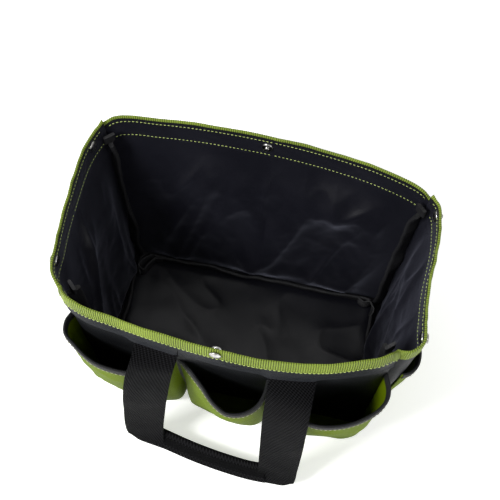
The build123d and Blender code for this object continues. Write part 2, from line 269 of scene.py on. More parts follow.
# %% Rib group
def rib_group():
    tree, start, end = new_group("ribs", {"Pitch": 0.0022, "Wrap": 0.0005}, ["Height"])
    parts = add(tree, "ShaderNodeSeparateXYZ", [start.outputs["Cloth"]])
    turns = sum_of(tree, "DIVIDE", parts.outputs[0], start.outputs["Pitch"])
    cord = sum_of(tree, "ABSOLUTE", sum_of(tree, "SINE", sum_of(tree, "MULTIPLY", turns, math.pi)))
    fine = sum_of(tree, "DIVIDE", parts.outputs[1], start.outputs["Wrap"])
    wrap = sum_of(tree, "SINE", sum_of(tree, "MULTIPLY", fine, 2 * math.pi))
    height = sum_of(tree, "MULTIPLY_ADD", wrap, 0.12, cord)
    tree.links.new(height, end.inputs["Height"])
    return tree


RIBS = rib_group()

# %% [markdown]
# Nothing sewn is one even colour. Handling rubs some places smooth and dust settles in others,
# so one noise that changes slowly over the cloth is shared by all the finishes, with a finer one
# for lint. Both are in metres, like the cloth itself.

# %% Unevenness group
def uneven_group():
    tree, start, end = new_group("uneven", {"Patch": 18.0, "Lint": 900.0}, ["Fade", "Lint"])
    slow = add(
        tree, "ShaderNodeTexNoise",
        {"Vector": start.outputs["Cloth"], "Scale": start.outputs["Patch"], "Detail": 3.0},
    )  # fmt: skip
    ramp = add(tree, "ShaderNodeMapRange", [slow.outputs["Fac"], 0.35, 0.68, 0.0, 1.0])
    fine = add(
        tree, "ShaderNodeTexNoise",
        {"Vector": start.outputs["Cloth"], "Scale": start.outputs["Lint"], "Detail": 1.0},
    )  # fmt: skip
    specks = add(tree, "ShaderNodeMapRange", [fine.outputs["Fac"], 0.66, 0.78, 0.0, 1.0])
    tree.links.new(ramp.outputs[0], end.inputs["Fade"])
    tree.links.new(specks.outputs[0], end.inputs["Lint"])
    return tree


UNEVEN = uneven_group()
print("node groups", [g.name for g in bpy.data.node_groups])

# %% [markdown]
# ## The finishes
#
# Every cloth finish has the same build: a group gives its texture, the unevenness group tints
# it, and a Bump node turns the texture into relief. The texture also sets the colour, dark where
# it is low and light where it is high, which is painted shade in the hollows and a painted
# highlight on the tops of threads and cords. One function lays this out, and each finish then
# brings its own colours, thread size and gloss. Values that are the same all over are typed
# straight into the shader's sockets.

# %% Cloth finish
FINISHES = {}


def cloth_finish(name, dark, light, texture, depth, rough, faded=0.25, lint=0.1, **shader):
    """A cloth material; texture is (group, its settings), depth the relief in metres. Dark and light are
    mixed by the texture's height: painted shade in its hollows, painted highlight on its tops.
    """
    made = bpy.data.materials.new(name)
    made.use_nodes = True
    tree = made.node_tree
    face = tree.nodes["Principled BSDF"]
    place = add(tree, "ShaderNodeUVMap", uv_map="cloth").outputs[0]
    group, settings = texture
    fibre = add(tree, "ShaderNodeGroup", node_tree=group)
    tree.links.new(place, fibre.inputs["Cloth"])
    for key, value in settings.items():
        fibre.inputs[key].default_value = value
    patch = add(tree, "ShaderNodeGroup", node_tree=UNEVEN)
    tree.links.new(place, patch.inputs["Cloth"])
    worn = sum_of(tree, "MULTIPLY", patch.outputs["Fade"], faded)
    # Painted shade and highlight: the texture height puts the dark colour in the hollows and the light one
    # on the tops, and the slow fade adds uneven tone.
    share = sum_of(tree, "MULTIPLY_ADD", fibre.outputs["Height"], 1 - faded, worn)
    colour = add(tree, "ShaderNodeMix", data_type="RGBA")
    tree.links.new(share, colour.inputs["Factor"])
    colour.inputs["A"].default_value = rgb(*dark)
    colour.inputs["B"].default_value = rgb(*light)
    dusty = add(tree, "ShaderNodeMix", data_type="RGBA")
    tree.links.new(sum_of(tree, "MULTIPLY", patch.outputs["Lint"], lint), dusty.inputs["Factor"])
    tree.links.new(colour.outputs["Result"], dusty.inputs["A"])
    dusty.inputs["B"].default_value = rgb(150, 150, 145)
    tree.links.new(dusty.outputs["Result"], face.inputs["Base Color"])
    gloss = sum_of(tree, "MULTIPLY_ADD", patch.outputs["Fade"], 0.12, rough - 0.06)
    tree.links.new(gloss, face.inputs["Roughness"])
    bump = add(tree, "ShaderNodeBump", {"Strength": 1.0, "Distance": depth})
    tree.links.new(fibre.outputs["Height"], bump.inputs["Height"])
    tree.links.new(bump.outputs[0], face.inputs["Normal"])
    for key, value in shader.items():
        face.inputs[key.replace("_", " ")].default_value = value
    FINISHES[name] = made
    return made


# %% [markdown]
# The outside is stiff woven polyester in slate black, the facing at the rim a shade bluer. The
# lining is thin nylon with a soft sheen, and the pockets are leaf-green polyester.

# %% Woven finishes
cloth_finish(
    "wall_cloth", (6, 7, 9), (17, 20, 25), (WEAVE, {"Thread": 0.0007}), 0.0003, 0.6,
    Specular_IOR_Level=0.25,
)  # fmt: skip
cloth_finish(
    "facing_cloth", (8, 10, 14), (22, 27, 34), (WEAVE, {"Thread": 0.0006}), 0.0003, 0.55,
    Specular_IOR_Level=0.25,
)  # fmt: skip
cloth_finish(
    "lining", (8, 8, 13), (20, 20, 29), (WEAVE, {"Thread": 0.0004}), 0.00005, 0.35,
    lint=0.03, Sheen_Weight=0.2, Sheen_Roughness=0.4, Sheen_Tint=(0.75, 0.78, 1.0, 1.0),
    Specular_IOR_Level=0.5,
)  # fmt: skip
cloth_finish(
    "pocket_cloth", (70, 88, 0), (110, 130, 2), (WEAVE, {"Thread": 0.0007}), 0.0002, 0.65,
    lint=0.06, Specular_IOR_Level=0.08,
)  # fmt: skip
cloth_finish("board", (14, 14, 16), (34, 35, 38), (WEAVE, {"Thread": 0.0009}), 0.0001, 0.7)

# %% [markdown]
# The rim is bound in light-green ribbed ribbon and the pocket mouths in charcoal ribbon, with
# the shade between the ribs painted dark into their colour. The seams inside are bound in black
# twill, whose threads run on a slant. The handles are heavy webbing, coarse enough that each
# thread catches the light, and that highlight is painted into its colour on the thread tops.

# %% Ribbon and webbing finishes
# Painted shade: the ribbon is dark between its cords and light on them.
cloth_finish(
    "rim_ribbon", (22, 34, 0), (146, 166, 64), (RIBS, {"Pitch": 0.0022}), 0.0004, 0.6,
    lint=0.05, Specular_IOR_Level=0.2,
)  # fmt: skip
cloth_finish(
    "pocket_binding", (6, 7, 8), (34, 35, 37), (RIBS, {"Pitch": 0.0014}), 0.0004, 0.65,
    Specular_IOR_Level=0.3,
)  # fmt: skip
cloth_finish(
    "twill_tape", (7, 7, 8), (30, 30, 34), (WEAVE, {"Thread": 0.0008, "Slant": 1.0}), 0.0002, 0.6,
)  # fmt: skip
# Painted highlight: the webbing is black, with light painted on the tops of its threads.
cloth_finish(
    "webbing", (0, 0, 0), (27, 27, 29), (WEAVE, {"Thread": 0.0017, "Slant": 0.5}), 0.0014, 0.6,
    faded=0.06, lint=0.02, Specular_IOR_Level=0.03,
)  # fmt: skip
cloth_finish("green_thread", (150, 172, 70), (214, 228, 140), (RIBS, {"Pitch": 0.0004}), 0.0001, 0.5)
cloth_finish("pale_thread", (120, 118, 96), (190, 186, 160), (RIBS, {"Pitch": 0.0004}), 0.0001, 0.5)

# %% [markdown]
# The snaps are nickel-plated brass. Polished metal is mostly reflection, so it needs uneven
# gloss more than colour: fingerprints and fine rubbing, from the same unevenness group.

# %% Nickel
def nickel():
    made = bpy.data.materials.new("snap_metal")
    made.use_nodes = True
    tree = made.node_tree
    face = tree.nodes["Principled BSDF"]
    place = add(tree, "ShaderNodeTexCoord").outputs["Object"]
    patch = add(tree, "ShaderNodeGroup", node_tree=UNEVEN)
    tree.links.new(place, patch.inputs["Cloth"])
    patch.inputs["Patch"].default_value = 260.0
    tone = add(tree, "ShaderNodeMix", data_type="RGBA")
    tree.links.new(patch.outputs["Fade"], tone.inputs["Factor"])
    tone.inputs["A"].default_value = rgb(206, 206, 204)
    tone.inputs["B"].default_value = rgb(150, 148, 144)
    tree.links.new(tone.outputs["Result"], face.inputs["Base Color"])
    gloss = sum_of(tree, "MULTIPLY_ADD", patch.outputs["Fade"], 0.16, 0.16)
    tree.links.new(gloss, face.inputs["Roughness"])
    bump = add(tree, "ShaderNodeBump", {"Strength": 0.3, "Distance": 0.00005})
    tree.links.new(patch.outputs["Lint"], bump.inputs["Height"])
    tree.links.new(bump.outputs[0], face.inputs["Normal"])
    face.inputs["Metallic"].default_value = 1.0
    FINISHES["snap_metal"] = made


nickel()
print("finishes", sorted(FINISHES))

# %% [markdown]
# ## The shell of the bag
#
# The bag is a lofted shell: every wall runs from a straight seam at the bottom to its own curved
# rim. The bow of the rim fades toward the bottom faster than the lean does, because the stiff
# board holds the foot straight while the free rim falls open. The long walls sag most, and the
# right end is pinched where its ribbon was folded at the corner.

# %% Walls
LONG_WALLS = ("front", "back")
FOOT_Z, RIM_Z = 0.0008, 0.2142
CORNER_X, CORNER_Y = 136, 71
WALLS = {
    "front": {
        "out": 1,
        "foot": [(-CORNER_X, -CORNER_Y), (CORNER_X, -CORNER_Y)],
        "rim": [(-152.5, -86), (-145, -95), (-132, -101.5), (-100, -107), (-54, -113), (-18, -116),
                (26, -117), (60, -114.5), (93, -108), (118, -99), (143, -86.5), (150, -78)],
    },
    "back": {
        "out": -1,
        "foot": [(-CORNER_X, CORNER_Y), (CORNER_X, CORNER_Y)],
        "rim": [(-163, 89), (-150, 96.5), (-110, 103), (-24, 108), (54, 104.5), (106, 96.5),
                (140, 86.5), (155, 80)],
    },
    "left": {
        "out": -1,
        "foot": [(-CORNER_X, -CORNER_Y), (-CORNER_X, CORNER_Y)],
        "rim": [(-152.5, -86), (-161, -78), (-167, -45), (-171.5, 14), (-170, 60), (-163, 89)],
    },
    "right": {
        "out": 1,
        "foot": [(CORNER_X, -CORNER_Y), (CORNER_X, CORNER_Y)],
        "rim": [(150, -78), (159, -79.5), (168, -72), (167.5, -45), (166, -18), (166, 51),
                (162, 71), (155, 80)],
    },
}  # fmt: skip


def wall(name, u, v):
    """Points on a wall's outer face: u runs 0 to 1 along it, v from 0 at the foot to 1."""
    u, v = np.broadcast_arrays(np.asarray(u, float), np.asarray(v, float))
    shape = WALLS[name]
    foot, rim = np.array(shape["foot"], float) * MM, np.array(shape["rim"], float) * MM
    chord = mix(rim[0], rim[-1], u[..., None])
    lean = mix(mix(foot[0], foot[1], u[..., None]), chord, v[..., None])
    held = np.clip(1 - v, 0, 1)
    bow = (line(rim, u) - chord) * (1 - held**1.6)[..., None]
    dip = 0.007 * np.exp(-(((u - 1) / 0.022) ** 2)) + 0.005 * np.exp(-((u / 0.022) ** 2))
    if name in ("left", "right"):
        dip = 0.007 * np.exp(-((u / 0.035) ** 2)) + 0.0025 * np.exp(-(((u - 0.5) / 0.2) ** 2))
    height = FOOT_Z + (RIM_Z - FOOT_Z) * v - dip * v**3
    return np.concatenate([lean + bow, height[..., None]], axis=-1)


CORNERS = {
    "front": ((-1, -1, 0), (1, -1, 0)), "back": ((-1, 1, 0), (1, 1, 0)),
    "left": ((-1, -1, 0), (-1, 1, 0)), "right": ((1, -1, 0), (1, 1, 0)),
}  # fmt: skip


def outward(name, u, v):
    """Direction out of a wall, turned to the mitre at its two corners so that layers meet."""
    u, v = np.broadcast_arrays(np.asarray(u, float), np.asarray(v, float))
    near = np.clip(u, 0.002, 0.998)
    along = wall(name, near + 0.002, v) - wall(name, near - 0.002, v)
    rise = wall(name, u, v + 0.002) - wall(name, u, v - 0.002)
    away = WALLS[name]["out"] * np.cross(along, rise)
    away /= np.linalg.norm(away, axis=-1, keepdims=True)
    reach = 0.02 if name in LONG_WALLS else 0.04
    for share, corner in zip((u, 1 - u), CORNERS[name]):
        away = mix(away, np.array(corner, float), (1 - fade(0, reach, share))[..., None])
    return away


def layer(name, u, v, depth):
    """Points moved out of the wall by depth metres, or into the bag where it is negative."""
    return wall(name, u, v) + outward(name, u, v) * np.asarray(depth)[..., None]


def middle(name):
    """Where along a wall its two halves meet."""
    rim = np.array(WALLS[name]["rim"], float)
    across = 0 if name in LONG_WALLS else 1
    at = np.linspace(0, 1, 2001)
    return float(at[np.argmin(np.abs(line(rim, at)[:, across]))])


def halves(name):
    """(label, where it starts, where it ends) of a wall's two halves."""
    labels = ("left", "right") if name in LONG_WALLS else ("front", "back")
    return [(labels[0], 0.0, middle(name)), (labels[1], middle(name), 1.0)]


print("halves meet at", {n: round(middle(n), 3) for n in WALLS})

# %% [markdown]
# ## Placing the cloth on the folding frame
#
# The bag closes flat: the long walls lean in, their middles go further than their corners, and
# the ends fold inward like a paper bag. Each long wall is therefore cut into halves, and each end
# is cut at its crease. Each half is baked where it is made and is not tied to the frame's bodies,
# so it stays in the open pose.


def follow(made, name):
    """Bakes the placement of a piece on half a wall into its mesh; the piece is not tied to the frame."""
    if name in LONG_WALLS:
        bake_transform(made)
    else:
        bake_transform(made)
    return made


def node_name(kind, name, half):
    """The frame's name for a kind of piece on this half of a wall."""
    return f"{name}_{kind}" if name in LONG_WALLS else f"{name}_{kind}_{half}"


def span(low, high, count):
    return np.linspace(low, high, count)


# %% [markdown]
# ## Outer cloth and lining
#
# Two layers make each wall. The outer cloth is stiff and lies nearly flat. The lining is cut a
# little too large, so it hangs in long slanting folds, deepest halfway down. A cloth simulation
# was tried here, and it let the lining slump into one roll at the bottom, so the few soft folds
# are drawn directly, as slanting waves and ridges. They die out at every seam, and well before a
# corner, because a corner has to close when the bag folds.

# %% Lining folds
WALL_WIDE = {"long": 0.3, "end": 0.17}  # about how wide the walls are, in metres
CORNER_ROOM = {"long": 0.20, "end": 0.30}  # share of a wall over which its folds die out


def lining_depth(name, u, v):
    """How far the lining hangs into the bag, in metres."""
    wide = WALL_WIDE["long" if name in LONG_WALLS else "end"]
    s, t = u * wide, v * 0.214
    seed = {"front": 3, "back": 11, "left": 23, "right": 31}[name]
    slow = waves(s - 0.15 * t, 0.45 * t, seed, 0.14)
    ridge = 1 - np.abs(waves(s - 0.45 * t, 0.25 * t, seed + 1, 0.15))
    crease = 1 - np.abs(waves(s - 0.25 * t, 0.35 * t, seed + 3, 0.08))
    small = waves(s, t, seed + 2, 0.035)
    room = CORNER_ROOM["long" if name in LONG_WALLS else "end"]
    held = fade(0.02, room, u) * fade(0.02, room, 1 - u) * fade(0, 0.10, v)
    held = held * fade(0, 0.30, 0.90 - v)
    fold = 0.0048 * (slow + 1) + 0.0075 * np.clip(ridge, 0, 1) ** 3 + 0.0008 * (small + 1)
    fold += 0.0030 * np.clip(crease, 0, 1) ** 3
    return held * fold


# %% Outer cloth and lining
def sew_walls():
    for name, shape in WALLS.items():
        long = name in LONG_WALLS
        cols = 80 if long else 50
        for half, low, high in halves(name):
            u, v = np.meshgrid(span(low, high, cols), span(0, 0.988, 80))
            ease = 0.0005 * waves(u * 0.3, v * 0.2, 5, 0.06) * fade(0, 0.1, 0.9 - v)
            grid = layer(name, u, v, ease)
            made = piece(f"{name}_cloth_{half}", [skin(grid, 0.0005, shape["out"])], "wall_cloth")
            kind = "panel" if long else "end_panel"
            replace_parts(follow(made, name), node_name(kind, name, half))
            flat = 0.0010 - 0.0004 * fade(0.9, 0.98, v)
            grid = layer(name, u, v, -flat - lining_depth(name, u, v))
            sheet = [skin(grid, 0.0005, shape["out"])]
            hem_u, hem_v = np.meshgrid(span(low, high, 70), span(0.868, 0.986, 10))
            turned_in = -0.0016 + 0.0004 * fade(0.95, 0.986, hem_v)
            turned_in += 0.0002 * waves(hem_u * 0.3, hem_v, 8, 0.02)
            hem = layer(name, hem_u, hem_v, turned_in)
            sheet.append(skin(hem, 0.0005, shape["out"]))
            made = piece(f"{name}_lining_{half}", sheet, "lining")
            kind = "lining" if long else "end_lining"
            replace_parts(follow(made, name), node_name(kind, name, half))
            print(name, half, "deepest fold", round(float(lining_depth(name, u, v).max()), 4))


sew_walls()

# %% [markdown]
# ## Facing band and ribbon
#
# A band of slate cloth is folded over the outside of each long wall below the rim, and the strap
# ends are caught under it. Ribbed ribbon then binds the rim: it shows broad outside and narrow
# inside. It is made by sweeping the ribbon's folded section along the rim, with real ribs.

# %% Facing band
def sew_facing():
    for name in LONG_WALLS:
        shape = WALLS[name]
        for half, low, high in halves(name):
            u, v = np.meshgrid(span(low, high, 90), span(0.838, 0.975, 13))
            lift = 0.0012 + 0.0003 * waves(u * 0.3, v * 0.2, 6, 0.05)
            lift += 0.0012 * (1 - fade(0.838, 0.855, v))
            x = np.abs(wall(name, u, v)[..., 0])
            strap = fade(0.036, 0.044, x) * (1 - fade(0.080, 0.090, x))
            lift += 0.0020 * strap * (1 - fade(0.88, 0.93, v))
            lift -= 0.0006 * fade(0.93, 0.975, v)
            grid = layer(name, u, v, lift)
            made = piece(f"{name}_facing_{half}", [skin(grid, 0.0009, shape["out"])], "facing_cloth")
            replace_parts(follow(made, name), f"{name}_top_band")
            print(name, half, "facing stands off at most", round(float(lift.max()), 4))


sew_facing()

# %% Ribbon round the rim
RIB = 0.0022


def sew_ribbon():
    for name, shape in WALLS.items():
        long = name in LONG_WALLS
        rim_length = np.linalg.norm(np.diff(wall(name, span(0, 1, 200), 1.0), axis=0), axis=1).sum()
        outside = 0.0020 if long else 0.0009
        section = [
            (outside, 0.924), (outside + 0.0001, 0.937), (outside - 0.0001, 0.958),
            (mix(outside, 0.0008, 0.5), 0.98), (0.0008, 0.994), (0.0004, 1.0005),
            (-0.0003, 1.0015), (-0.0010, 1.0000), (-0.0013, 0.996), (-0.0013, 0.991),
        ]  # fmt: skip
        depth, level = np.array(section).T
        for half, low, high in halves(name):
            ribs = rim_length * (high - low) / RIB
            u, row = np.meshgrid(span(low, high, int(ribs * 5)), np.arange(len(section)))
            cord = np.abs(np.sin(math.pi * u * rim_length / RIB))
            slack = 0.0005 * waves(u * 0.3, 0 * u, 9, 0.04)
            lift = depth[row] + np.where(depth[row] > -0.0005, 0.00035, -0.0002) * cord
            away = outward(name, u, 0 * u + 0.96)
            away[..., 2] = 0
            grid = wall(name, u, level[row]) + away * (lift + slack)[..., None]
            made = piece(f"{name}_ribbon_{half}", [skin(grid, 0.0005, shape["out"])], "rim_ribbon")
            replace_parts(follow(made, name), node_name("rim_binding", name, half))
    print("ribbon section points", len(section))


sew_ribbon()

# %% [markdown]
# ## Stitching
#
# Thread shows as short dashes, each dipping into the cloth at its ends. A dash is a tiny
# six-sided bead, drawn out along the seam. Real geometry costs little here and catches the light
# as thread does, which a painted line doesn't.

# %% Stitches along a seam
def stitches(path, away, long=0.0024, gap=0.0014, fat=0.00032):
    """Thread dashes along a line of points; away is the direction out of the cloth."""
    steps = np.linalg.norm(np.diff(path, axis=0), axis=1)
    at = np.concatenate([[0], np.cumsum(steps)])
    starts = np.arange(gap, at[-1] - long, long + gap)
    shares, widths = np.array([0, 0.2, 0.5, 0.8, 1.0]), np.array([0.25, 0.9, 1.0, 0.9, 0.25])
    turns = np.arange(6) * math.pi / 3
    made = []
    for begin in starts:
        where = begin + shares * long
        spine = np.stack([np.interp(where, at, path[:, k]) for k in range(3)], axis=1)
        up = np.stack([np.interp(where, at, away[:, k]) for k in range(3)], axis=1)
        ahead = spine[-1] - spine[0]
        side = np.cross(up, ahead)
        side /= np.linalg.norm(side, axis=1, keepdims=True)
        lift = up * (fat * (widths - 0.6))[:, None]
        ring = up[:, None] * np.sin(turns)[:, None] + side[:, None] * np.cos(turns)[:, None]
        corners = (spine + lift)[:, None] + ring * (fat * widths)[:, None, None]
        index = np.arange(30).reshape(5, 6)
        faces = []
        for k in range(4):
            a, b = index[k], index[k + 1]
            faces += [[a[j], a[(j + 1) % 6], b[(j + 1) % 6], b[j]] for j in range(6)]
        faces += [list(index[0][::-1]), list(index[4])]
        uv = np.stack([np.repeat(where, 6), np.tile(turns * fat, 5)], axis=1)
        made.append((corners.reshape(-1, 3), faces, uv))
    return made


def seam_line(name, low, high, level, depth):
    """A line of points along a wall at one height, and the direction out of the cloth there."""
    u = span(low, high, 120)
    away = outward(name, u, 0 * u + level)
    return layer(name, u, 0 * u + level, 0 * u + depth), away if depth > 0 else -away


INSIDE_ROWS = (0.972, 0.885)  # as shares of the wall's height: under the ribbon, under the facing
OUTSIDE_ROW = 0.934
THREAD_INSIDE, THREAD_OUTSIDE = -0.0020, 0.0028  # how far the thread stands off the wall


def sew_seams():
    total = 0
    for name in WALLS:
        long = name in LONG_WALLS
        for half, low, high in halves(name):
            rows = []
            for level in INSIDE_ROWS:
                edge = 0.012 if long else 0.03
                a, b = max(low, edge), min(high, 1 - edge)
                rows += stitches(*seam_line(name, a, b, level, THREAD_INSIDE))
            if long:
                rows += stitches(*seam_line(name, low, high, OUTSIDE_ROW, THREAD_OUTSIDE))
            made = piece(f"{name}_thread_{half}", rows, "green_thread")
            follow(made, name)
            total += len(rows)
    print("stitches at the rim", total)


sew_seams()

# %% [markdown]
# ## Pockets
#
# Each pocket is a sheet lofted between two lines: a tight line sewn round the bottom of the bag,
# and a long loose one at its mouth. The mouth stands well off the wall and sags in its middle.
# The lines are listed for the front, and the back reuses them, moved in to match its
# shallower bow.

# %% Pocket lines
POCKETS = {
    "left": {
        "mouth": [(-150.5, -84, 152), (-153, -93, 152), (-149.5, -103, 151), (-137, -113.5, 149.5),
                  (-116, -125, 147.5), (-98, -127.5, 146), (-80, -127, 146), (-62, -125, 147),
                  (-50, -117, 149.5), (-44, -106, 151.5)],
        "foot": [(-136.5, -74, 1), (-135, -82, 1), (-120, -87.5, 1), (-90, -90, 1), (-60, -91, 1),
                 (-46, -85, 1), (-43.5, -75, 1)],
    },
    "centre": {
        "mouth": [(-41, -106, 152), (-33, -111, 151.5), (-16, -125, 149), (1, -140, 146),
                  (12, -145, 145), (24, -143.5, 145.5), (37, -134, 147), (42.5, -121, 150),
                  (43, -110, 152)],
        "foot": [(-42.5, -75, 1), (-38, -86, 1), (-16, -93, 1), (12, -98, 1), (32, -95, 1),
                 (41, -87, 1), (43, -75, 1)],
    },
    "right": {
        "mouth": [(46, -109, 152), (51, -117, 151), (62, -128, 148.5), (75, -135, 147),
                  (90, -138.5, 146), (112, -135, 146), (134, -123, 147.5), (148, -108, 150),
                  (152.5, -93, 151.5), (149, -80, 152)],
        "foot": [(44.5, -75, 1), (48, -86, 1), (70, -93, 1), (105, -92.5, 1), (128, -88.5, 1),
                 (137, -82, 1), (136.5, -74, 1)],
    },
}  # fmt: skip
BACK_SHIFT = 9.0  # the back bows less than the front, so its pockets stand this much nearer


def to_side(name, points):
    """Hand-placed front points in metres, for the front or turned round for the back."""
    points = np.array(points, float)
    if name == "back":
        near = BACK_SHIFT * fade(84, 110, -points[..., 1]) - 1.5
        points[..., 1] = -(points[..., 1] + near)
    return points * MM


def pocket_surface(name, which, t, w):
    """Points on a pocket's outer face: t runs 0 to 1 along it, w from foot to mouth."""
    lines = POCKETS[which]
    foot = line(to_side(name, lines["foot"]), t)
    mouth = line(to_side(name, lines["mouth"]), t)
    grid = mix(foot, mouth, np.asarray(w)[..., None])
    seams = fade(0, 0.12, t) * fade(0, 0.12, 1 - t)
    seed = {"left": 41, "centre": 52, "right": 63}[which] + (7 if name == "back" else 0)
    bulge = 0.004 * np.sin(math.pi * np.clip(w, 0, 1)) ** 0.8
    wrinkle = 0.0016 * waves(t * 0.13, w * 0.13, seed, 0.07) * fade(0, 0.3, 1.02 - w)
    away = np.zeros_like(grid)
    away[..., 1] = -1 if name == "front" else 1
    grid = grid + away * (seams * (bulge + wrinkle))[..., None]
    return grid + to_the_wall(name, grid, t)


def to_the_wall(name, grid, t):
    """The small moves that lay a pocket's two side edges on the wall, fading out inward."""
    moves = np.zeros_like(grid)
    for edge, share in ((0, t), (-1, 1 - t)):
        seam = grid[:, edge]
        v = (seam[:, 2] - FOOT_Z) / (RIM_Z - FOOT_Z)
        u, level = np.meshgrid(span(0, 1, 300), v)
        row = wall(name, u, level)
        for k in range(len(seam)):
            y = np.interp(seam[k, 0], row[k, :, 0], row[k, :, 1])
            x = np.clip(seam[k, 0], row[k, 0, 0] + 0.0006, row[k, -1, 0] - 0.0006)
            sink = 0.0006 if name == "front" else -0.0006
            gap = np.array([x - seam[k, 0], y + sink - seam[k, 1], 0])
            moves[k] += gap * (1 - fade(0, 0.16, share[k]))[:, None]
    return moves


# %% [markdown]
# The pocket's lower edge turns under and is caught in the bottom seam, so each sheet gets a few
# more rows that run back to the wall. Its mouth is bound in charcoal ribbon, which is folded
# over the edge like the rim's, and stitched in a pale thread.

# %% Sew the long walls' pockets
def sew_pockets():
    total = 0
    for name in LONG_WALLS:
        out = WALLS[name]["out"]
        for which in POCKETS:
            t, w = np.meshgrid(span(0, 1, 110), span(0, 1, 56))
            grid = pocket_surface(name, which, t, w)
            under = np.stack([grid[0]] * 3)
            wall_y = CORNER_Y * MM * (-1 if name == "front" else 1)
            for k, share in enumerate((1.04, 0.6, 0.2)):
                under[k, :, 1] = mix(grid[0, :, 1], wall_y, share)
                under[k, :, 2] = 0.0012
            grid[:3, :, 2] += np.array([0.0002, 0.0004, 0.0])[:, None]
            grid = np.concatenate([under, grid])
            cloth = piece(f"{name}_pocket_{which}_cloth", [skin(grid, 0.0011, out)], "pocket_cloth")
            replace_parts(cloth, f"{name}_pocket_{which}")
            section = [(0.0009, 0.935), (0.0012, 0.95), (0.0013, 0.975), (0.0012, 0.995),
                       (0.0006, 1.008), (-0.0008, 1.010), (-0.0021, 0.998), (-0.0023, 0.975),
                       (-0.0021, 0.955)]  # fmt: skip
            depth, level = np.array(section).T
            t, row = np.meshgrid(span(0.002, 0.998, 160), np.arange(len(section)))
            grid = pocket_surface(name, which, t, level[row])
            flat = normals(pocket_surface(name, which, *np.meshgrid(t[0], [0.9, 0.95, 1.0])), out)[1]
            grid = grid + flat[None] * depth[row][..., None]
            mouth = piece(f"{name}_pocket_{which}_binding", [skin(grid, 0.0007, out)], "pocket_binding")
            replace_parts(mouth, f"{name}_pocket_bindings")
            edge_t, edge_w = np.meshgrid(span(0.01, 0.99, 160), [0.94, 0.953, 0.966])
            seam = pocket_surface(name, which, edge_t, edge_w)
            thread = stitches(seam[1] + flat * 0.0013, flat, long=0.0026, gap=0.0016)
            thread = piece(f"{name}_pocket_{which}_thread", thread, "pale_thread")
            for made in (cloth, mouth, thread):
                if which == "centre":
                    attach(made, f"{name}_middle")
                else:
                    follow(made, name)
                total += 1
    print("pieces in the long walls' pockets", total)


sew_pockets()

# %% [markdown]
# Each end has one flatter pocket that runs through the crease. It is drawn on the wall itself as
# an amount to stand off, nothing at its seams and little at the crease, where the fold presses
# it flat.

# %% Sew the end pockets
def end_pocket_stand(t, w):
    """How far an end pocket's half stands off the wall; t is 0 at its seam, 1 at the crease."""
    across = np.sin(math.pi * np.clip(t, 0, 1) ** 0.8) * 0.8 + 0.22 * fade(0, 0.2, t)
    return 0.0022 + across * (0.003 + 0.0065 * np.clip(w, 0, 1.02))


def sew_end_pockets():
    total = 0
    for name in ("left", "right"):
        out = WALLS[name]["out"]
        for half, low, high in halves(name):
            t, w = np.meshgrid(span(0, 1, 60), span(0, 1, 50))

            def place(t, w, more=0.0):
                seam, crease = (low + 0.09, high) if half == "front" else (high - 0.09, low)
                u, v = mix(seam, crease, t), 0.008 + w * 0.690 - 0.012 * np.sin(math.pi * t)
                ripple = 0.0012 * waves(t * 0.07, w * 0.14, 71, 0.05) * fade(0, 0.2, t)
                return layer(name, u, np.clip(v, 0, 1), end_pocket_stand(t, w) + ripple + more)

            turn = out if half == "front" else -out
            cloth = piece(f"{name}_pocket_{half}_cloth", [skin(place(t, w), 0.0011, turn)], "pocket_cloth")
            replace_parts(cloth, f"{name}_pocket_{half}")
            section = [(0.0008, 0.935), (0.0013, 0.95), (0.0013, 0.98), (0.0009, 1.006),
                       (-0.0009, 1.008), (-0.0023, 0.99), (-0.0021, 0.955)]  # fmt: skip
            depth, level = np.array(section).T
            t, row = np.meshgrid(span(0.002, 0.998, 110), np.arange(len(section)))
            grid = place(t, level[row], depth[row])
            mouth = piece(f"{name}_pocket_{half}_binding", [skin(grid, 0.0007, turn)], "pocket_binding")
            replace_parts(mouth, f"{name}_pocket_binding_{half}")
            edge = place(*np.meshgrid(span(0.02, 0.98, 90), [0.94, 0.953, 0.966]), 0.0013)
            thread = stitches(edge[1], normals(edge, turn)[1], long=0.0026, gap=0.0016)
            thread = piece(f"{name}_pocket_{half}_thread", thread, "pale_thread")
            for made in (cloth, mouth, thread):
                follow(made, name)
                total += 1
    print("end pocket pieces", total)


sew_end_pockets()

# %% [markdown]
# ## Tapes over the seams inside
#
# Raw seam edges inside are wrapped in black twill tape. It stands up from the seam as a soft
# wavy ridge, round the floor and up the four corners. A tape is a flattened tube swept along its
# line, with the width turned a little as it goes.

# %% Flat tube along a line
def flat_tube(path, side, width, thick, around=14):
    """Closed flat tube: path is its centre line, side the direction of its width."""
    ahead = np.gradient(path, axis=0)
    ahead /= np.linalg.norm(ahead, axis=1, keepdims=True)
    side = side - ahead * (side * ahead).sum(axis=1, keepdims=True)
    side /= np.linalg.norm(side, axis=1, keepdims=True)
    up = np.cross(ahead, side)
    turns = span(0, 2 * math.pi, around + 1)[:-1]
    x = np.sign(np.cos(turns)) * np.abs(np.cos(turns)) ** 0.5 * width / 2
    y = np.sign(np.sin(turns)) * np.abs(np.sin(turns)) ** 0.6 * thick / 2
    corners = path[:, None] + side[:, None] * x[:, None] + up[:, None] * y[:, None]
    index = np.arange(len(path) * around).reshape(len(path), around)
    faces = []
    for k in range(len(path) - 1):
        a, b = index[k], index[k + 1]
        faces += [[a[j], a[(j + 1) % around], b[(j + 1) % around], b[j]] for j in range(around)]
    faces += [list(index[0][::-1]), list(index[-1])]
    at = np.concatenate([[0], np.cumsum(np.linalg.norm(np.diff(path, axis=0), axis=1))])
    wrap = np.abs(np.arctan2(y, x)) * width / 2
    uv = np.stack([np.repeat(at, around), np.tile(wrap, len(path))], axis=1)
    return corners.reshape(-1, 3), faces, uv


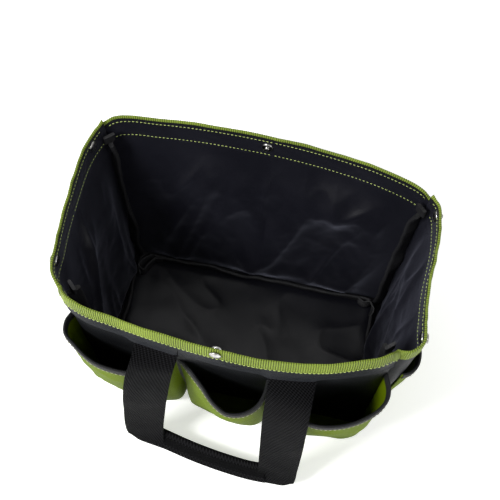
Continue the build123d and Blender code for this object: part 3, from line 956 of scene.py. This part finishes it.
def sew_corner_tapes():
    corners = [("front", "left"), ("front", "right"), ("back", "left"), ("back", "right")]
    for number, (name, half) in enumerate(corners):
        v = span(0.03, 0.915, 60)
        u = 0 * v + (0.0 if half == "left" else 1.0)
        seam = wall(name, u, v)
        inward = np.array([1.0 if half == "left" else -1.0, 1.0 if name == "front" else -1.0, 0])
        inward /= np.linalg.norm(inward)
        sway = waves(v * 0.2, 0 * v, 80 + number, 0.06)
        across = np.array([-inward[1], inward[0], 0])
        path = seam + inward * 0.0100 + across * (0.0026 * sway)[:, None]
        side = inward + across * (0.5 * waves(v * 0.2, 0 * v, 90 + number, 0.09))[:, None]
        tape = [flat_tube(path, side, 0.0135, 0.0046)]
        top = path[-1] + np.outer(span(0, 1, 8), [0, 0, 0.010])
        tape.append(flat_tube(top - inward * 0.001, np.tile(across, (8, 1)), 0.012, 0.0034))
        made = piece(f"{name}_tape_{half}", tape, "twill_tape")
        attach(made, f"{name}_wall")
        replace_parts(made, f"{name}_corner_tapes")
    print("corner tapes", len(corners))


sew_corner_tapes()

# %% [markdown]
# ## The floor of the bag
#
# The bottom is a stiff board between two cloths. The lining over it is a little loose, so it
# crowns and creases. It is one sheet with soft hollows, and its edges run under the seam tape.

# %% Floor
# Spare ends of tape crumpled in the two back corners, in millimetres above the floor lining.
SPARE_ENDS = [
    [(-104, 61, 5), (-112, 58, 7), (-117, 50, 6), (-121, 43, 5), (-125, 47, 9), (-120, 55, 12),
     (-115, 60, 12), (-121, 62, 9), (-127, 56, 8), (-128, 46, 6), (-124, 38, 4)],
    [(110, 62, 5), (117, 58, 6), (123, 60, 9), (127, 54, 8), (125, 46, 5)],
]  # fmt: skip


def lay_floor():
    low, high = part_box("base_lining")
    reach_x, reach_y = high.x + 0.0035, high.y + 0.0035
    x, y = np.meshgrid(span(-reach_x, reach_x, 120), span(-reach_y, reach_y, 70))
    edge = np.minimum(1 - np.abs(x) / high.x, (1 - np.abs(y) / high.y) * 0.6)
    soft = fade(0, 0.12, edge)
    ridge = np.clip(1 - np.abs(waves(x + 0.4 * y, y, 101, 0.12)), 0, 1) ** 3
    z = high.z + soft * (0.0012 + 0.0012 * waves(x, y, 100, 0.09) + 0.0022 * ridge)
    grid = np.stack([x, y, z], axis=2)
    made = piece("floor_lining", [skin(grid, 0.0007, 1)], "lining")
    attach(made, "bottom")
    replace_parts(made, "base_lining")
    turn = span(0, 1, 400)
    half_x, half_y = high.x - 0.002, high.y - 0.002
    loop = [(-half_x, -half_y), (half_x, -half_y), (half_x, half_y), (-half_x, half_y)]
    loop = np.array(loop + [loop[0]])
    lengths = np.concatenate([[0], np.cumsum(np.linalg.norm(np.diff(loop, axis=0), axis=1))])
    at = turn * lengths[-1]
    path = np.stack([np.interp(at, lengths, loop[:, k]) for k in (0, 1)], axis=1)
    for _ in range(14):
        path[1:-1] = (path[:-2] + 2 * path[1:-1] + path[2:]) / 4
    sway = waves(at, 0 * at, 110, 0.07)
    inward = -path / np.linalg.norm(path, axis=1, keepdims=True)
    path = path + inward * (0.0016 + 0.0018 * sway)[:, None]
    height = high.z + 0.0042 + 0.0010 * waves(at, 0 * at, 111, 0.05)
    path = np.column_stack([path, height])
    side = np.column_stack([inward * (0.45 + 0.35 * sway)[:, None], 0 * at + 1])
    tape = [flat_tube(path, side, 0.0095, 0.0040)]
    for spare in SPARE_ENDS:
        curl = line(np.array(spare) * MM + [0, 0, high.z], span(0, 1, 60))
        twist = span(0, 7, 60)
        lean = np.column_stack([0.4 * np.cos(twist), 0.4 * np.sin(twist), 0 * twist + 1])
        tape.append(flat_tube(curl, lean, 0.0085, 0.0028))
    made = piece("floor_seam_tape", tape, "twill_tape")
    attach(made, "bottom")
    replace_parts(made, "base_seam_tape")
    for node, finish in (("bottom_panel", "wall_cloth"), ("base_board", "board")):
        low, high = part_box(node)
        a, r = np.meshgrid(span(0, 2 * math.pi, 121), span(0.002, 1, 30))
        x = np.sign(np.cos(a)) * np.abs(np.cos(a)) ** 0.06 * r * high.x
        y = np.sign(np.sin(a)) * np.abs(np.sin(a)) ** 0.06 * r * high.y
        grid = np.stack([x, y, high.z + 0.0004 * waves(x, y, 103, 0.08) * (1 - r) - 0.0001], axis=2)
        made = piece(f"floor_{finish}", [skin(grid, high.z - low.z - 0.0003, -1)], finish)
        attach(made, "bottom")
        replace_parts(made, node)
    print("floor lining top", round(float(z.max()), 4))


lay_floor()

# %% [markdown]
# ## Handles
#
# Each handle is one length of heavy webbing. Its ends are caught under the facing band, it comes
# out over the pocket mouths, hangs to the ground, and is folded double along the grip. A leg is
# lofted between its two edges, which are lines through given points. The grip is two flat
# layers, one on the other.

# %% Handle lines
LEGS = {
    "left": {
        "outer": [(-81, -127, 166), (-84, -132.5, 150), (-87, -135.5, 118), (-89.5, -136, 70),
                  (-90, -137, 36), (-88.5, -138, 20), (-84, -140.5, 11)],
        "inner": [(-41, -124, 166), (-43, -128.5, 150), (-46, -132, 118), (-50, -133, 70),
                  (-52, -135.5, 36), (-51.5, -138, 18), (-50, -143, 5.5)],
        "top": (-79, -39),
    },
    "right": {
        "outer": [(85.5, -134, 166), (85.5, -142, 150), (85.5, -145.5, 118), (85, -147, 70),
                  (84, -149, 36), (83.5, -151.5, 20), (81, -154.5, 9)],
        "inner": [(44, -127, 166), (44, -132, 150), (44, -137, 118), (45, -142, 70),
                  (46, -147.5, 36), (46.5, -149.5, 18), (48, -154, 4)],
        "top": (85.5, 44),
    },
}  # fmt: skip
GRIP = [(-58, -135.0, 17), (-50, -136.2, 15.5), (-20, -141.5, 13), (10, -145.5, 12.5),
        (42, -148.0, 14), (53, -148.5, 17)]  # fmt: skip
STRAP_THICK = 0.0018


def beside_wall(name, x, z, depth):
    """Point at a place across and a height on a long wall, moved out by depth."""
    v = (z * MM - FOOT_Z) / (RIM_Z - FOOT_Z)
    u, levels = np.meshgrid(span(0, 1, 400), [v - 0.01, v, v + 0.01])
    row = layer(name, u, levels, 0 * u + depth)[1]
    at = np.interp(x * MM, row[:, 0], np.arange(400))
    return np.array([np.interp(at, np.arange(400), row[:, k]) for k in range(3)])


def leg_edge(name, leg, edge):
    """One edge of a leg, from under the facing to the ground, in metres."""
    x = LEGS[leg]["top"][0 if edge == "outer" else 1]
    tucked = [beside_wall(name, x, 190, 0.0018), beside_wall(name, x, 181, 0.0026)]
    return np.concatenate([tucked, to_side(name, LEGS[leg][edge])])


# %% Sew the handles
def sew_handles():
    for name in LONG_WALLS:
        sign = -1 if name == "front" else 1
        parts = []
        for leg in LEGS:
            a, t = np.meshgrid(span(0, 1, 26), span(0, 1, 150))
            reach = 1 - 0.035 * np.exp(-((a / 0.16) ** 2))
            outer, inner = (line(leg_edge(name, leg, e), t * reach) for e in ("outer", "inner"))
            grid = mix(outer, inner, a[..., None])
            curl = 0.0012 * waves(t * 0.22, a * 0.04, 120 + len(parts), 0.09) * fade(0.1, 0.3, t)
            grid[..., 1] += sign * curl * fade(0, 0.15, 1 - t)
            turn = 1 if normals(grid)[40, :, 1].mean() * sign > 0 else -1
            parts.append(skin(grid, STRAP_THICK, turn))
        path = line(to_side(name, GRIP), span(0, 1, 90))
        side = np.tile([0, 0.55 * sign, -0.83], (90, 1))
        for lift, width in ((-0.00095, 0.0208), (0.00095, 0.0214)):
            parts.append(flat_tube(path + [0, sign * lift, 0], side, width, 0.0018, 18))
        made = piece(f"{name}_handle_webbing", parts, "webbing")
        top, below = beside_wall(name, 0, 180, 0.003), beside_wall(name, 0, 150, 0.020)
        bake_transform(made)
        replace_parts(made, f"{name}_handle", f"{name}_handle_anchors")
        print(name, "handle strap ends at", [round(float(x), 4) for x in parts[0][0][0]])


sew_handles()

# %% [markdown]
# ## Snaps
#
# Six nickel snaps gather the rim: one pair in the middle of the long walls, facing each other
# inside, and one pair on each end, outside. A snap is turned metal, so each half is a profile
# spun round its own axis: a domed cap, a socket ring, and a stud with a waist.

# %% Turned profiles
CAP = [(0.1, 1.8), (2.4, 1.7), (4.2, 1.2), (5.2, 0.6), (5.6, 0.1), (5.5, -0.2), (0.1, -0.2)]
SOCKET = [(0.1, 0.4), (2.2, 0.4), (2.5, 1.3), (2.9, 1.9), (4.1, 2.0), (5.1, 1.4), (5.5, 0.5),
          (5.6, -0.1), (0.1, -0.1)]  # fmt: skip
STUD = [(0.1, 3.1), (1.5, 3.0), (2.1, 2.5), (2.2, 2.0), (1.8, 1.4), (2.6, 1.1), (4.4, 1.1),
        (5.3, 0.6), (5.6, 0.0), (0.1, -0.1)]  # fmt: skip


def turned(profile, seat, away, around=40):
    """A profile of (radius, height) in millimetres spun round the line away from its seat."""
    frame_turn = Vector(away).to_track_quat("Z", "Y").to_matrix()
    fine = line(profile, span(0, 1, len(profile) * 4))
    turns = span(0, 2 * math.pi, around + 1)[:-1]
    x = fine[:, :1] * np.cos(turns) * MM
    y = fine[:, :1] * np.sin(turns) * MM
    local = np.stack([x, y, np.repeat(fine[:, 1:] * MM, around, axis=1)], axis=2).reshape(-1, 3)
    corners = local @ np.array(frame_turn).T + np.asarray(seat)
    index = np.arange(len(local)).reshape(len(fine), around)
    faces = []
    for k in range(len(fine) - 1):
        a, b = index[k], index[k + 1]
        faces += [[a[j], a[(j + 1) % around], b[(j + 1) % around], b[j]] for j in range(around)]
    faces += [list(index[0][::-1]), list(index[-1])]
    return corners, faces, local[:, :2]


def set_snaps():
    places = [
        ("front", "x", -4, "front_snap_cap", "front_snap_socket", SOCKET, "front_middle"),
        ("back", "x", -6, "back_snap_cap", "back_snap_stud", STUD, "back_middle"),
    ]
    for end in ("left", "right"):
        for half, y, mate, shape in (("front", -60, "socket", SOCKET), ("back", 65, "stud", STUD)):
            body, node = f"{end}_end_{half}", f"{end}_snap_{mate}_{half}"
            places.append((end, "y", y, f"{end}_snap_cap_{half}", node, shape, body))
    for name, axis, place, cap, mate, shape, body in places:
        u, level = span(0, 1, 600), {"front": 0.972, "back": 0.932}.get(name, 0.952)
        row, column = wall(name, u, 0 * u + level), 0 if axis == "x" else 1
        at = int(np.argmin(np.abs(row[:, column] - place * MM)))
        away, middle_point = outward(name, u[at], level), row[at]
        outside, inside = middle_point + away * 0.0026, middle_point - away * 0.0025
        if name in ("left", "right"):
            outside = middle_point + away * 0.0016
            seats = ((CAP, inside, -away, cap), (shape, outside, away, mate))
        else:
            seats = ((CAP, outside, away, cap), (shape, inside, -away, mate))
        for profile, seat, direction, node in seats:
            made = piece(f"{node}_nickel", [turned(profile, seat, direction)], "snap_metal")
            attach(made, body)
            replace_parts(made, node)
    print("snap halves", 2 * len(places))


set_snaps()

# %% [markdown]
# ## Studio
#
# A plain pale floor and broad soft lights keep the eye on the cloth. The dark lining only shows
# its folds if something bright is reflected in its sheen, so one large light hangs behind the
# bag. A stronger one is over the viewer's left shoulder, and a weak one is on the right.

# %% Floor and lights
def build_studio():
    bpy.ops.mesh.primitive_plane_add(size=8, location=(0, 0, -0.0004))
    floor = bpy.context.object
    floor.name = "studio_floor"
    paper = bpy.data.materials.new("studio_paper")
    paper.use_nodes = True
    face = paper.node_tree.nodes["Principled BSDF"]
    face.inputs["Base Color"].default_value = rgb(250, 250, 250)
    face.inputs["Roughness"].default_value = 0.9
    face.inputs["Emission Color"].default_value = (1, 1, 1, 1)
    face.inputs["Emission Strength"].default_value = 0.5
    grain = add(paper.node_tree, "ShaderNodeTexNoise", {"Scale": 300.0})
    tooth = add(paper.node_tree, "ShaderNodeBump", {"Strength": 0.1, "Distance": 0.0002})
    paper.node_tree.links.new(grain.outputs["Fac"], tooth.inputs["Height"])
    paper.node_tree.links.new(tooth.outputs[0], face.inputs["Normal"])
    floor.data.materials.append(paper)
    world = bpy.data.worlds.new("studio_air")
    world.use_nodes = True
    world.node_tree.nodes["Background"].inputs["Color"].default_value = (1, 1, 1, 1)
    air = world.node_tree
    where = add(air, "ShaderNodeTexCoord").outputs["Generated"]
    rise = add(air, "ShaderNodeSeparateXYZ", [where]).outputs[2]
    dome = add(air, "ShaderNodeMapRange", [rise, 0.1, 0.9, 0.8, 0.35]).outputs[0]
    air.links.new(dome, air.nodes["Background"].inputs["Strength"])
    bpy.context.scene.world = world
    for name, place, size, power in (
        ("over_back", (-0.3, 0.8, 1.5), 1.0, 3.0),
        ("over_shoulder", (-0.9, -0.9, 1.2), 0.5, 28.0),
        ("right_side", (1.3, -0.5, 1.0), 0.5, 3.0),
    ):
        lamp = bpy.data.lights.new(name, "AREA")
        lamp.size, lamp.energy = size, power
        made = bpy.data.objects.new(name, lamp)
        made.location = place
        made.rotation_euler = (Vector((0, 0, 0.1)) - made.location).to_track_quat("-Z", "Y").to_euler()
        bpy.context.scene.collection.objects.link(made)
    bpy.context.scene.view_settings.view_transform = "Standard"


build_studio()

# %% [markdown]
# The camera looks down into the open bag from the front and a little to its right. Its place is
# worked out from two angles, a distance and the point that it looks at, and its matrix is
# filled in directly, with a small roll.

# %% Camera
TURN, RISE, ROLL = 9.68, 61.42, 3.22  # degrees
AIM = (-6.3, 42.0, 108.1)  # millimetres
DISTANCE, LENS, SENSOR = 1.196, 86.83, 36


def set_camera():
    turn, rise, roll = (math.radians(x) for x in (TURN, RISE, ROLL))
    aim = Vector(AIM) * MM
    back = Vector((math.sin(turn) * math.cos(rise), -math.cos(turn) * math.cos(rise), math.sin(rise)))
    right = Vector((math.cos(turn), math.sin(turn), 0))
    up = back.cross(right)
    right, up = (
        right * math.cos(roll) + up * math.sin(roll),
        up * math.cos(roll) - right * math.sin(roll),
    )
    data = bpy.data.cameras.new("viewer")
    data.lens, data.sensor_width = LENS, SENSOR
    camera = bpy.data.objects.new("viewer", data)
    place = Matrix((right, up, back)).transposed().to_4x4()
    place.translation = aim + back * DISTANCE
    camera.matrix_world = place
    bpy.context.scene.collection.objects.link(camera)
    bpy.context.scene.camera = camera


set_camera()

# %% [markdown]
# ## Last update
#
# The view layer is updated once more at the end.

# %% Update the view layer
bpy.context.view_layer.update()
